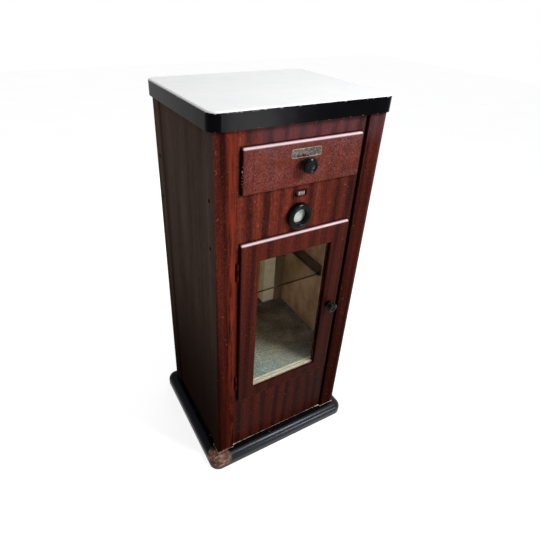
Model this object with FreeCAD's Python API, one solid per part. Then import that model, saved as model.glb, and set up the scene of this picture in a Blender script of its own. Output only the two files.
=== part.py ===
import FreeCAD, Part
import math
import os

# Floor-standing treatment-room cabinet: four corner posts with panels between them, a drawer that slides,
# a glazed door on butt hinges with a turn catch, a signal lamp and a slide switch, an enamelled steel top
# over a wooden board, and a bullnose plinth.
# Millimetres. Origin at the centre of the base, +Z up, the front faces -Y.

os.makedirs("parts", exist_ok=True)

Vector = FreeCAD.Vector
ALONG_X, ALONG_Y, ALONG_Z = Vector(1, 0, 0), Vector(0, 1, 0), Vector(0, 0, 1)
LEFT, RIGHT, FRONT_END, REAR_END = -1, 1, -1, 1
SIDE_NAMES = {LEFT: "left", RIGHT: "right"}

# ---- driving dimensions ----
BODY_W, BODY_D, TOTAL_H = 340.0, 282.0, 830.0

PLINTH_H, PLINTH_PROJECTION = 32.0, 22.5
PLINTH_TOP_R, PLINTH_FOOT_BEVEL = 18.0, 2.5
PLINTH_BEARING = 30.0                 # how far the plinth runs in under the carcass

TOP_H, TOP_OVERHANG, TOP_CORNER_R = 30.0, 7.5, 18.0
TOP_EDGE_R, SHEET_T = 3.5, 1.2
CORE_GAP = 0.3                        # between the pressed pan and the board inside it

FRONT_POST_W, REAR_POST_W, POST_D, POST_EDGE_R = 40.0, 47.0, 30.0, 2.0
BATTEN_W, BATTEN_EDGE_R = 34.0, 1.5   # uprights beside the rear posts, inside the cupboard
TONGUE = 6.0                          # depth of the panels' tongues in the posts
FASCIA_RECESS, FASCIA_T = 5.0, 10.0
SIDE_RECESS, SIDE_T = 5.0, 12.0
REAR_RECESS, REAR_T = 2.0, 5.0

BOARD_T, FLOOR_T = 10.0, 12.0
HOUSING = 4.0                         # depth of the boards' housings in the fascia
CUPBOARD_FLOOR_Z = 219.0              # top of the cupboard's floor
LINING_T, LINING_RIM_H, LINING_SETBACK = 1.0, 5.0, 20.0
COMPARTMENT_FLOOR_Z = 599.0           # top of the board above the cupboard
DRAWER_DECK_Z = 689.0                 # top of the board under the drawer

FRONT_W = 242.0                       # width of the drawer front and of the door
LIP = 8.0                             # overlap of drawer front and door on the fascia
LIP_PROUD, LIP_GAP = 8.0, 0.4
LIP_CORNER_R, LIP_EDGE_R = 4.5, 4.0
FIT_GAP = 0.5                         # between an inner part and its opening
INNER_T = 9.9                         # part of drawer front and door inside the opening

DRAWER_Z = (690.0, 770.0)
DRAWER_SIDE_T, DRAWER_SIDE_TOP = 8.0, 754.0
DRAWER_REAR_Y = 120.0
DRAWER_BOTTOM_T, DRAWER_BOTTOM_RISE = 4.0, 3.4
DRAWER_JOINT = 4.0                    # depth of rebates and grooves in the drawer
RUNNER_GAP = 0.4
RUNNER_REACH, RUNNER_GUIDE_H = 13.0, 18.0

DOOR_Z = (191.0, 597.0)
STILE_W, TOP_RAIL_H, BOTTOM_RAIL_H = 38.0, 42.0, 29.0
SIGHT_EDGE_R = 1.5
GLASS_T, GLASS_DEPTH, GLASS_REBATE = 3.0, 5.0, 8.0
GLASS_GAP = 0.5
TENON_L, TENON_T, TENON_SHOULDER = 25.0, 5.0, 2.5
BEAD_BEVEL = 3.0

HINGE_AXIS = (-124.5, -138.4)         # x and y of the door's hinge line
HINGE_CENTRES_Z = {"lower": 248.0, "upper": 540.0}
HINGE_L, KNUCKLE_R, PIN_R, LEAF_T = 38.0, 2.8, 1.2, 1.2
PIN_CLEARANCE, KNUCKLE_GAP = 0.05, 0.3
LEAF_INNER_X = -113.9

SHELF_Z, SHELF_T = 403.0, 5.0         # top of the glass shelf
SHELF_Y = (-46.0, 110.0)
BEARER_W, BEARER_GROOVE = 7.0, 4.0
BEARER_BELOW, BEARER_ABOVE = 5.0, 17.0
SHELF_HEADROOM, SHELF_END_GAP = 0.4, 0.5

DRAWER_KNOB_Z, DRAWER_KNOB_R = 730.0, 14.0
DRAWER_KNOB_PROJECTION = 19.2
DOOR_KNOB_X, DOOR_KNOB_Z, DOOR_KNOB_R = 100.0, 393.0, 11.0
DOOR_KNOB_PROJECTION = 18.5
ROSE_R, ROSE_T = 9.5, 2.6
SPINDLE_R = 4.0
TONGUE_PLATE_T, TONGUE_PLATE_W, TONGUE_PLATE_L = 3.0, 11.0, 23.0
KNOB_SCREW_R, KNOB_SCREW_HEAD_R, KNOB_SCREW_HEAD_T = 2.0, 4.0, 1.8

LAMP_Z, LAMP_R, LAMP_PROUD = 629.5, 25.2, 12.0
LAMP_BARREL_R, LAMP_BORE_R, LAMP_SIGHT_R, LAMP_ROUNDING = 19.5, 17.5, 16.0, 5.0
LAMP_SEAT = 4.5                       # front of the lens's rim, in front of the fascia
LAMP_NUT_R, LAMP_NUT_T = 24.5, 6.0
LAMP_CUP_DEPTH, LAMP_CAP_R = 20.0, 4.0

SWITCH_Z, SWITCH_W, SWITCH_H = 673.0, 30.0, 14.0
SWITCH_PLATE_T, SWITCH_PLATE_BEVEL, SWITCH_TRAVEL = 1.5, 0.5, 4.0
SWITCH_SLOT_W, SWITCH_SLOT_H = 24.0, 8.4
SWITCH_TAB_W, SWITCH_TAB_H = 14.0, 8.0

SCREW_EDGE = 19.0                     # from the cabinet's front or back to a carcass screw
SCREW_R, SCREW_HEAD_R, SCREW_HEAD_T, SCREW_L, SCREW_SINK = 2.0, 3.8, 1.6, 58.0, 0.4

GLAND_X, GLAND_Z, GLAND_R, GLAND_WAIST_R, GLAND_BORE_R = 100.0, 640.0, 9.0, 6.0, 3.2
GLAND_PROJECTION = 8.0

# ---- planes worked out from them ----
HALF_W, HALF_D = BODY_W / 2, BODY_D / 2
FRONT, BACK = -HALF_D, HALF_D
CARCASS_TOP = TOTAL_H - TOP_H
CARCASS_Z = (PLINTH_H, CARCASS_TOP)
POST_INNER_X = {FRONT_END: HALF_W - FRONT_POST_W, REAR_END: HALF_W - REAR_POST_W}
POST_INNER_Y = HALF_D - POST_D
FASCIA_Y = FRONT + FASCIA_RECESS
FASCIA_BACK = FASCIA_Y + FASCIA_T
SIDE_INNER_X = HALF_W - SIDE_RECESS - SIDE_T
REAR_INNER_Y = BACK - REAR_RECESS - REAR_T
OPENING_X = FRONT_W / 2 - LIP
LIP_FACE = FASCIA_Y - LIP_PROUD
LIP_BACK = FASCIA_Y - LIP_GAP
INNER_BACK = LIP_BACK + INNER_T
GLASS_FACE = LIP_FACE + GLASS_DEPTH
DOOR_LEFT, DOOR_RIGHT = -FRONT_W / 2, FRONT_W / 2
SIGHT_X = FRONT_W / 2 - STILE_W
SIGHT_Z = (DOOR_Z[0] + BOTTOM_RAIL_H, DOOR_Z[1] - TOP_RAIL_H)
SWITCH_SLOT_Z = (SWITCH_Z - SWITCH_SLOT_H / 2, SWITCH_Z + SWITCH_SLOT_H / 2)
SWITCH_NOSE_X = SWITCH_SLOT_W / 2 + 1.5
SWITCH_NOSE_Z = (SWITCH_SLOT_Z[0] - 1.5, SWITCH_SLOT_Z[1] + 1.5)
SPINDLE_Y = (LIP_FACE - 12.0, INNER_BACK + 1.1 + TONGUE_PLATE_T)
DRAWER_SIDE_X = OPENING_X - FIT_GAP
DRAWER_SIDE_Z = (DRAWER_Z[0] + LIP + FIT_GAP, DRAWER_SIDE_TOP)
DRAWER_JOINT_Y = INNER_BACK - DRAWER_JOINT
DRAWER_BOTTOM_X = DRAWER_SIDE_X - DRAWER_SIDE_T + DRAWER_JOINT
DRAWER_BOTTOM_LOW = DRAWER_SIDE_Z[0] + DRAWER_BOTTOM_RISE
DRAWER_BOTTOM_Z = (DRAWER_BOTTOM_LOW, DRAWER_BOTTOM_LOW + DRAWER_BOTTOM_T)


# ---- small helpers ----
def block(xs, ys, zs):
    """Box between two x, two y and two z values, given in either order."""
    low = Vector(min(xs), min(ys), min(zs))
    high = Vector(max(xs), max(ys), max(zs))
    return Part.makeBox(high.x - low.x, high.y - low.y, high.z - low.z, low)


def on_planes(edge, **planes):
    """True where the whole edge lies in each named plane, such as x=3 or z=0."""
    box = edge.BoundBox
    near = 0.01
    return all(
        abs(getattr(box, axis.upper() + end) - value) < near
        for axis, value in planes.items()
        for end in ("Min", "Max")
    )


def round_edges(shape, radius, *wanted):
    """Fillet every edge that lies in the planes of one of the wanted sets."""
    edges = [e for e in shape.Edges if any(on_planes(e, **planes) for planes in wanted)]
    return shape.makeFillet(radius, edges)


def bar(start, direction, radius, length):
    """Round bar from a start point along a direction."""
    return Part.makeCylinder(radius, length, start, direction)


def turned(profile, x, z, face_y):
    """Turned piece on a line along Y, from a closed profile of (radius, distance in front of face_y)."""
    points = [Vector(x + radius, face_y - ahead, z) for radius, ahead in profile]
    face = Part.Face(Part.makePolygon(points + points[:1]))
    return face.revolve(Vector(x, 0, z), ALONG_Y, 360)


def quarter_round(radius, front, rounding, flats=2):
    """Profile points of a turned piece's rounded front edge, from its side to its face, in a few flats."""
    turns = [math.pi / 2 * step / flats for step in range(flats + 1)]
    middle = (radius - rounding, front - rounding)
    return [(middle[0] + rounding * math.cos(turn), middle[1] + rounding * math.sin(turn)) for turn in turns]


def rounded_plate(half_x, half_y, zs, corner_r):
    """Upright prism on a rectangle with rounded corners."""
    plate = block((-half_x, half_x), (-half_y, half_y), zs)
    corners = [{"x": sx * half_x, "y": sy * half_y} for sx in (-1, 1) for sy in (-1, 1)]
    return round_edges(plate, corner_r, *corners)


def between_posts(half_x, ys, zs, gap=0.0, corners=POST_INNER_X):
    """Flat board that fills the carcass and is notched round what stands in its four corners."""
    board = block((-half_x, half_x), ys, zs)
    for side in (LEFT, RIGHT):
        for end, inner_x in corners.items():
            notch_x = (side * (inner_x - gap), side * BODY_W)
            notch_y = (end * (POST_INNER_Y - gap), end * BODY_D)
            board = board.cut(block(notch_x, notch_y, zs))
    return board


def lipped_slab(zs):
    """Slab whose edge laps over the fascia in front and whose inner part stands in the opening."""
    lip = block((DOOR_LEFT, DOOR_RIGHT), (LIP_FACE, LIP_BACK), zs)
    corners = [{"x": x, "z": z} for x in (DOOR_LEFT, DOOR_RIGHT) for z in zs]
    lip = round_edges(lip, LIP_CORNER_R, *corners)
    lip = round_edges(lip, LIP_EDGE_R, {"y": LIP_FACE})
    inner_x = OPENING_X - FIT_GAP
    inner_z = (zs[0] + LIP + FIT_GAP, zs[1] - LIP - FIT_GAP)
    return lip.fuse(block((-inner_x, inner_x), (LIP_BACK, INNER_BACK), inner_z)).removeSplitter()


def knob_profile(radius, neck_r, foot, projection):
    """Turned knob: straight neck and a wide head with a rounded rim."""
    head_back = projection * 0.45
    rim = quarter_round(radius, projection, 3.0)
    return [(0, foot), (neck_r, foot), (neck_r, head_back), (radius, head_back), *rim, (0, projection)]


def save(name, shape):
    shape.exportStep(f"parts/{name}.step")


# ---- carcass ----
def carcass_screw(side, end, z):
    """Flat-headed screw through a post into the end of a board."""
    start = Vector(side * (HALF_W - SCREW_SINK), end * (HALF_D - SCREW_EDGE), z)
    inwards = Vector(-side, 0, 0)
    head = bar(start, inwards, SCREW_HEAD_R, SCREW_HEAD_T)
    return head.fuse(bar(start, inwards, SCREW_R, SCREW_L)).removeSplitter()


def screw_hole(side, end, z):
    """Hole for a carcass screw, open to the outside of the post."""
    mouth = Vector(side * HALF_W, end * (HALF_D - SCREW_EDGE), z)
    sink = bar(mouth, Vector(-side, 0, 0), SCREW_HEAD_R, SCREW_SINK)
    return carcass_screw(side, end, z).fuse(sink).removeSplitter()


SCREW_BOARDS_Z = [COMPARTMENT_FLOOR_Z - BOARD_T / 2, DRAWER_DECK_Z - BOARD_T / 2]
SCREW_PLACES = [
    (side, end, z) for side in (LEFT, RIGHT) for end in (FRONT_END, REAR_END) for z in SCREW_BOARDS_Z
]


def post(side, end):
    """Corner post with eased edges, a groove for each panel that it holds, and its screw holes."""
    inner_x = POST_INNER_X[end]
    body = block((side * HALF_W, side * inner_x), (end * HALF_D, end * POST_INNER_Y), CARCASS_Z)
    body = round_edges(
        body,
        POST_EDGE_R,
        {"x": side * HALF_W, "y": end * HALF_D},
        {"x": side * inner_x, "y": end * HALF_D},
        {"x": side * HALF_W, "y": end * POST_INNER_Y},
    )
    panel_y = (FASCIA_Y, FASCIA_BACK) if end == FRONT_END else (REAR_INNER_Y, REAR_INNER_Y + REAR_T)
    body = body.cut(block((side * inner_x, side * (inner_x + TONGUE)), panel_y, CARCASS_Z))
    side_x = (side * SIDE_INNER_X, side * (SIDE_INNER_X + SIDE_T))
    side_y = (end * POST_INNER_Y, end * (POST_INNER_Y + TONGUE))
    body = body.cut(block(side_x, side_y, CARCASS_Z))
    for z in SCREW_BOARDS_Z:
        body = body.cut(screw_hole(side, end, z))
    return body


def side_panel(side):
    xs = (side * SIDE_INNER_X, side * (SIDE_INNER_X + SIDE_T))
    reach = POST_INNER_Y + TONGUE
    return block(xs, (-reach, reach), CARCASS_Z)


def front_panel():
    """Fascia in one sheet, cut out for drawer, door, lamp and switch, and housed behind for two boards."""
    between = POST_INNER_X[FRONT_END]
    reach = between + TONGUE
    depth = (FASCIA_Y, FASCIA_BACK)
    panel = block((-reach, reach), depth, CARCASS_Z)
    for low, high in (DRAWER_Z, DOOR_Z):
        panel = panel.cut(block((-OPENING_X, OPENING_X), depth, (low + LIP, high - LIP)))
    for top in (COMPARTMENT_FLOOR_Z, DRAWER_DECK_Z):
        housing_y = (FASCIA_BACK - HOUSING, FASCIA_BACK)
        panel = panel.cut(block((-between, between), housing_y, (top - BOARD_T, top)))
    panel = panel.cut(bar(Vector(0, FASCIA_Y, LAMP_Z), ALONG_Y, LAMP_BARREL_R, FASCIA_T))
    panel = panel.cut(block((-SWITCH_NOSE_X, SWITCH_NOSE_X), depth, SWITCH_NOSE_Z))
    knuckle_x = HINGE_AXIS[0] - KNUCKLE_R - 0.2
    for centre in HINGE_CENTRES_Z.values():
        leaf_z = (centre - HINGE_L / 2, centre + HINGE_L / 2)
        panel = panel.cut(block((knuckle_x, LEAF_INNER_X), (FASCIA_Y, FASCIA_Y + LEAF_T), leaf_z))
    return panel


def rear_panel():
    """Thin sheet in the rear posts' grooves, with a hole for the cord's gland."""
    reach = POST_INNER_X[REAR_END] + TONGUE
    panel = block((-reach, reach), (REAR_INNER_Y, REAR_INNER_Y + REAR_T), CARCASS_Z)
    return panel.cut(bar(Vector(GLAND_X, REAR_INNER_Y, GLAND_Z), ALONG_Y, GLAND_WAIST_R, REAR_T))


def screwed_board(top):
    """Board that is housed in the fascia and screwed through the posts."""
    ys = (FASCIA_BACK - HOUSING, REAR_INNER_Y)
    board = between_posts(SIDE_INNER_X, ys, (top - BOARD_T, top))
    for side, end, z in SCREW_PLACES:
        if z == top - BOARD_T / 2:
            board = board.cut(carcass_screw(side, end, z))
    return board


def rear_batten(side):
    """Upright against the rear post and panel, from the cupboard's floor to its ceiling."""
    inner_x = POST_INNER_X[REAR_END] - BATTEN_W
    xs = (side * inner_x, side * (inner_x + BATTEN_W))
    batten = block(xs, (POST_INNER_Y, REAR_INNER_Y), (CUPBOARD_FLOOR_Z, COMPARTMENT_FLOOR_Z - BOARD_T))
    return round_edges(batten, BATTEN_EDGE_R, {"x": side * inner_x, "y": POST_INNER_Y})


def floor_lining():
    """Thin sheet on the cupboard's floor, turned up along its walls and notched round posts and battens."""
    edge = 0.5
    half_x, rear = SIDE_INNER_X - edge, REAR_INNER_Y - edge
    front = FRONT + LINING_SETBACK
    floor, rim = CUPBOARD_FLOOR_Z, CUPBOARD_FLOOR_Z + LINING_RIM_H
    corners = {**POST_INNER_X, REAR_END: POST_INNER_X[REAR_END] - BATTEN_W}
    outer = between_posts(half_x, (front, rear), (floor, rim), edge, corners)
    hollow_y, hollow_z = (front, rear - LINING_T), (floor + LINING_T, rim)
    hollow = between_posts(half_x - LINING_T, hollow_y, hollow_z, edge + LINING_T, corners)
    return outer.cut(hollow)


def shelf_bearer(side):
    """Batten on the side wall, grooved for the shelf's end and open at the front."""
    inner_x, low = SIDE_INNER_X - BEARER_W, SHELF_Z - SHELF_T
    zs = (low - BEARER_BELOW, SHELF_Z + BEARER_ABOVE)
    bearer = block((side * inner_x, side * SIDE_INNER_X), SHELF_Y, zs)
    groove_x = (side * inner_x, side * (inner_x + BEARER_GROOVE))
    return bearer.cut(block(groove_x, SHELF_Y, (low, SHELF_Z + SHELF_HEADROOM)))


def glass_shelf():
    half_x = SIDE_INNER_X - BEARER_W + BEARER_GROOVE - SHELF_END_GAP
    zs = (SHELF_Z - SHELF_T, SHELF_Z)
    shelf = block((-half_x, half_x), SHELF_Y, zs)
    return round_edges(shelf, 1.5, *[{"y": SHELF_Y[0], "z": z} for z in zs])


# ---- top and plinth ----
def enamel_top():
    """Pressed steel pan with a rounded upper edge and a deep skirt."""
    half_x, half_y = HALF_W + TOP_OVERHANG, HALF_D + TOP_OVERHANG
    pan = rounded_plate(half_x, half_y, (CARCASS_TOP, TOTAL_H), TOP_CORNER_R)
    pan = round_edges(pan, TOP_EDGE_R, {"z": TOTAL_H})
    hollow = rounded_plate(
        half_x - SHEET_T, half_y - SHEET_T, (CARCASS_TOP, TOTAL_H - SHEET_T), TOP_CORNER_R - SHEET_T
    )
    return pan.cut(hollow)


def top_board():
    inset = SHEET_T + CORE_GAP
    half_x, half_y = HALF_W + TOP_OVERHANG - inset, HALF_D + TOP_OVERHANG - inset
    return rounded_plate(half_x, half_y, (CARCASS_TOP, TOTAL_H - SHEET_T), TOP_CORNER_R - inset)


def plinth_members():
    """Bullnose moulding round the base, cut into four lengths that meet in mitres."""
    half_x, half_y = HALF_W + PLINTH_PROJECTION, HALF_D + PLINTH_PROJECTION
    base = rounded_plate(half_x, half_y, (0, PLINTH_H), PLINTH_PROJECTION)
    base = round_edges(base, PLINTH_TOP_R, {"z": PLINTH_H})
    foot = [edge for edge in base.Edges if on_planes(edge, z=0)]
    base = base.makeChamfer(PLINTH_FOOT_BEVEL, foot)
    hole_x, hole_y = HALF_W - PLINTH_BEARING, HALF_D - PLINTH_BEARING
    frame = base.cut(block((-hole_x, hole_x), (-hole_y, hole_y), (0, PLINTH_H)))

    def length_of(corners):
        outline = Part.makePolygon([Vector(x, y, 0) for x, y in corners + corners[:1]])
        return frame.common(Part.Face(outline).extrude(ALONG_Z * PLINTH_H))

    members = {}
    for name, end in (("front", FRONT_END), ("rear", REAR_END)):
        far, near = end * half_y, end * hole_y
        members[name] = length_of([(-half_x, far), (half_x, far), (hole_x, near), (-hole_x, near)])
    for side, name in SIDE_NAMES.items():
        far, near = side * half_x, side * hole_x
        members[name] = length_of([(far, -half_y), (far, half_y), (near, hole_y), (near, -hole_y)])
    return members


# ---- signal lamp and switch ----
def lamp_bezel():
    """Ring with a rounded front, and the barrel behind it that passes through the fascia."""
    barrel_end = -(FASCIA_T + LAMP_NUT_T + 2)
    sight, front = LAMP_SIGHT_R, LAMP_PROUD
    profile = [
        (LAMP_BORE_R, barrel_end),
        (LAMP_BARREL_R, barrel_end),
        (LAMP_BARREL_R, 0),
        (LAMP_R, 0),
        *quarter_round(LAMP_R, front, LAMP_ROUNDING),
        (sight, front),
        (sight, LAMP_SEAT),
        (LAMP_BORE_R, LAMP_SEAT),
    ]
    return turned(profile, 0, LAMP_Z, FASCIA_Y)


def lamp_lens():
    """Opal disc with a rim behind the ring's lip."""
    rim, face, raised = LAMP_SIGHT_R - 0.3, LAMP_SEAT, 1.5
    front = face + raised
    profile = [(0, 0), (LAMP_BORE_R, 0), (LAMP_BORE_R, face), (rim, face), (rim, front), (0, front)]
    return turned(profile, 0, LAMP_Z, FASCIA_Y)


def lamp_nut():
    """Six-sided ring nut on the barrel, tight against the fascia's back."""
    corners = [
        Vector(LAMP_NUT_R * math.cos(a), FASCIA_BACK, LAMP_Z + LAMP_NUT_R * math.sin(a))
        for a in (i * math.pi / 3 for i in range(7))
    ]
    nut = Part.Face(Part.makePolygon(corners)).extrude(ALONG_Y * LAMP_NUT_T)
    return nut.cut(bar(Vector(0, FASCIA_BACK, LAMP_Z), ALONG_Y, LAMP_BARREL_R, LAMP_NUT_T))


def lamp_holder():
    """Cup inside the barrel that presses on the lens, with a thick floor that grips the bulb's cap."""
    wall, floor_t = 2.0, 10.0
    profile = [
        (LAMP_CAP_R, -LAMP_CUP_DEPTH),
        (LAMP_BORE_R - wall, -LAMP_CUP_DEPTH),
        (LAMP_BORE_R - wall, 0),
        (LAMP_BORE_R, 0),
        (LAMP_BORE_R, -LAMP_CUP_DEPTH - floor_t),
        (LAMP_CAP_R, -LAMP_CUP_DEPTH - floor_t),
    ]
    return turned(profile, 0, LAMP_Z, FASCIA_Y)


def lamp_bulb():
    """Small bulb: its cap in the holder's neck, its envelope in the cup."""
    cap_end, cap_front = -LAMP_CUP_DEPTH - 8.0, -LAMP_CUP_DEPTH + 2.0
    widest, tip = 5.5, -4.0
    cap = [(0, cap_end), (LAMP_CAP_R, cap_end), (LAMP_CAP_R, cap_front)]
    envelope = [(widest, cap_front), (widest, tip), (0, tip)]
    return turned(cap + envelope, 0, LAMP_Z, FASCIA_Y)


def switch_plate():
    """Small escutcheon with a slot for the thumb tab."""
    half_w, half_h = SWITCH_W / 2, SWITCH_H / 2
    ys = (FASCIA_Y - SWITCH_PLATE_T, FASCIA_Y)
    zs = (SWITCH_Z - half_h, SWITCH_Z + half_h)
    plate = block((-half_w, half_w), ys, zs)
    plate = round_edges(plate, 3.0, *[{"x": x, "z": z} for x in (-half_w, half_w) for z in zs])
    rim = [edge for edge in plate.Edges if on_planes(edge, y=ys[0])]
    plate = plate.makeChamfer(SWITCH_PLATE_BEVEL, rim)
    return plate.cut(block((-SWITCH_SLOT_W / 2, SWITCH_SLOT_W / 2), ys, SWITCH_SLOT_Z))


def switch_body():
    """Switch case behind the fascia, its nose in the cut-out and a channel for the lever's stem."""
    half_w, depth = SWITCH_NOSE_X + 3, 16.0
    case = block((-half_w, half_w), (FASCIA_BACK, FASCIA_BACK + depth), SWITCH_NOSE_Z)
    nose = block((-SWITCH_NOSE_X, SWITCH_NOSE_X), (FASCIA_Y, FASCIA_BACK), SWITCH_NOSE_Z)
    channel_y = (FASCIA_Y, FASCIA_BACK + depth / 2)
    channel = block((-SWITCH_SLOT_W / 2, SWITCH_SLOT_W / 2), channel_y, SWITCH_SLOT_Z)
    return case.fuse(nose).cut(channel).removeSplitter()


def switch_lever():
    """Thumb tab with a ridged face on a stem that runs in the channel."""
    stem_w = SWITCH_SLOT_W - 2 * SWITCH_TRAVEL - 1.0
    stem_h = SWITCH_SLOT_H - 0.6
    plate_face = FASCIA_Y - SWITCH_PLATE_T
    half_w, half_h = SWITCH_TAB_W / 2, SWITCH_TAB_H / 2
    tab_y = (plate_face - 3.3, plate_face - 0.3)
    tab = block((-half_w, half_w), tab_y, (SWITCH_Z - half_h, SWITCH_Z + half_h))
    tab = round_edges(tab, 1.0, {"y": tab_y[0]})
    for x in (-3.0, 0.0, 3.0):
        tab = tab.cut(bar(Vector(x, tab_y[0], SWITCH_Z - half_h), ALONG_Z, 0.5, SWITCH_TAB_H))
    stem_x = (-stem_w / 2, stem_w / 2)
    stem_z = (SWITCH_Z - stem_h / 2, SWITCH_Z + stem_h / 2)
    return tab.fuse(block(stem_x, (tab_y[1], FASCIA_BACK + 4), stem_z)).removeSplitter()


def cable_gland():
    """Collared bush in the rear panel, with a bore for the cord."""
    outer_end, inner_end = -GLAND_PROJECTION, REAR_T + 3.0
    bush = [(GLAND_BORE_R, outer_end), (GLAND_BORE_R, inner_end), (GLAND_WAIST_R, inner_end)]
    collar = [(GLAND_WAIST_R, 0), (GLAND_R, 0), (GLAND_R, outer_end)]
    return turned(bush + collar, GLAND_X, GLAND_Z, REAR_INNER_Y + REAR_T)


# ---- drawer ----
def drawer_runner(side):
    """Rail under the drawer's side, with a guide that keeps the drawer straight."""
    outer = side * (OPENING_X + RUNNER_REACH)
    bed_top = DRAWER_SIDE_Z[0] - RUNNER_GAP
    ys = (FASCIA_BACK, POST_INNER_Y - 1)
    bed = block((side * (OPENING_X - RUNNER_REACH), outer), ys, (DRAWER_DECK_Z, bed_top))
    guide = block((side * OPENING_X, outer), ys, (bed_top, bed_top + RUNNER_GUIDE_H))
    return bed.fuse(guide).removeSplitter()


def drawer_bottom():
    xs = (-DRAWER_BOTTOM_X, DRAWER_BOTTOM_X)
    return block(xs, (DRAWER_JOINT_Y, DRAWER_REAR_Y), DRAWER_BOTTOM_Z)


def drawer_side(side):
    xs = (side * (DRAWER_SIDE_X - DRAWER_SIDE_T), side * DRAWER_SIDE_X)
    board = block(xs, (DRAWER_JOINT_Y, DRAWER_REAR_Y), DRAWER_SIDE_Z)
    return board.cut(drawer_bottom())


def drawer_back():
    inner_x = DRAWER_SIDE_X - DRAWER_SIDE_T
    ys = (DRAWER_REAR_Y - DRAWER_SIDE_T, DRAWER_REAR_Y)
    return block((-inner_x, inner_x), ys, (DRAWER_BOTTOM_Z[1], DRAWER_SIDE_TOP))


def drawer_front():
    """Lipped front, rebated behind for the sides and grooved for the bottom."""
    front = lipped_slab(DRAWER_Z)
    for side in (LEFT, RIGHT):
        xs = (side * (DRAWER_SIDE_X - DRAWER_SIDE_T), side * (DRAWER_SIDE_X + 1))
        zs = (DRAWER_SIDE_Z[0] - 1, DRAWER_SIDE_TOP)
        front = front.cut(block(xs, (DRAWER_JOINT_Y, INNER_BACK + 1), zs))
    front = front.cut(drawer_bottom())
    return front.cut(bar(Vector(0, LIP_FACE, DRAWER_KNOB_Z), ALONG_Y, KNOB_SCREW_R, LIP_PROUD + INNER_T))


def drawer_knob():
    profile = knob_profile(DRAWER_KNOB_R, 7.0, 0.0, DRAWER_KNOB_PROJECTION)
    knob = turned(profile, 0, DRAWER_KNOB_Z, LIP_FACE)
    return knob.cut(bar(Vector(0, LIP_FACE, DRAWER_KNOB_Z), -ALONG_Y, KNOB_SCREW_R, 10.0))


def drawer_knob_screw():
    """Flat-headed screw from inside the drawer into the knob."""
    inside = INNER_BACK
    tip = LIP_FACE - 10.0
    shank = [(0, inside - tip), (KNOB_SCREW_R, inside - tip), (KNOB_SCREW_R, 0)]
    head = [(KNOB_SCREW_HEAD_R, 0), (KNOB_SCREW_HEAD_R, -KNOB_SCREW_HEAD_T), (0, -KNOB_SCREW_HEAD_T)]
    return turned(shank + head, 0, DRAWER_KNOB_Z, inside)


# ---- door ----
def door_slab():
    """Whole door frame before it is divided: lipped slab with its sight opening and glass rebate."""
    slab = lipped_slab(DOOR_Z)
    depth = (LIP_FACE, INNER_BACK)
    slab = slab.cut(block((-SIGHT_X, SIGHT_X), depth, SIGHT_Z))
    sides = [{"x": x, "y": LIP_FACE} for x in (-SIGHT_X, SIGHT_X)]
    ends = [{"z": z, "y": LIP_FACE} for z in SIGHT_Z]
    slab = round_edges(slab, SIGHT_EDGE_R, *sides, *ends)
    rebate_x = SIGHT_X + GLASS_REBATE
    rebate_z = (SIGHT_Z[0] - GLASS_REBATE, SIGHT_Z[1] + GLASS_REBATE)
    return slab.cut(block((-rebate_x, rebate_x), (GLASS_FACE, INNER_BACK), rebate_z))


def tenons():
    """Tenons of both rails, in the thickness behind the glass rebate's depth."""
    inner_low = DOOR_Z[0] + LIP + FIT_GAP
    inner_high = DOOR_Z[1] - LIP - FIT_GAP
    heights = {
        "bottom": (inner_low + TENON_SHOULDER, SIGHT_Z[0] - GLASS_REBATE - 1),
        "top": (SIGHT_Z[1] + GLASS_REBATE + 2, inner_high - TENON_SHOULDER),
    }
    middle = (LIP_BACK + INNER_BACK) / 2
    ys = (middle - TENON_T / 2, middle + TENON_T / 2)
    reach = SIGHT_X + TENON_L
    return {name: block((-reach, reach), ys, zs) for name, zs in heights.items()}


def door_members():
    """Two stiles with mortises, and two rails with the tenons that fill them."""
    slab = door_slab()
    tenon = tenons()
    whole_y, whole_z = (LIP_FACE, INNER_BACK), DOOR_Z
    members = {}
    for name, far in (("stile_hinge", DOOR_LEFT), ("stile_lock", DOOR_RIGHT)):
        near = math.copysign(SIGHT_X, far)
        stile = slab.common(block((far, near), whole_y, whole_z))
        for piece in tenon.values():
            stile = stile.cut(piece)
        members[name] = stile
    rail_z = {"bottom": (DOOR_Z[0], SIGHT_Z[0]), "top": (SIGHT_Z[1], DOOR_Z[1])}
    for name, zs in rail_z.items():
        rail = slab.common(block((-SIGHT_X, SIGHT_X), whole_y, zs))
        members["rail_" + name] = rail.fuse(tenon[name]).removeSplitter()
    for centre in HINGE_CENTRES_Z.values():
        leaf_z = (centre - HINGE_L / 2, centre + HINGE_L / 2)
        recess = block((DOOR_LEFT - 1, LEAF_INNER_X), (LIP_BACK - LEAF_T, LIP_BACK), leaf_z)
        members["stile_hinge"] = members["stile_hinge"].cut(recess)
    bore = bar(Vector(DOOR_KNOB_X, LIP_FACE, DOOR_KNOB_Z), ALONG_Y, SPINDLE_R + PIN_CLEARANCE, 30)
    members["stile_lock"] = members["stile_lock"].cut(bore)
    return members


def door_glass():
    half_x = SIGHT_X + GLASS_REBATE - GLASS_GAP
    zs = (SIGHT_Z[0] - GLASS_REBATE + GLASS_GAP, SIGHT_Z[1] + GLASS_REBATE - GLASS_GAP)
    return block((-half_x, half_x), (GLASS_FACE, GLASS_FACE + GLASS_T), zs)


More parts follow.
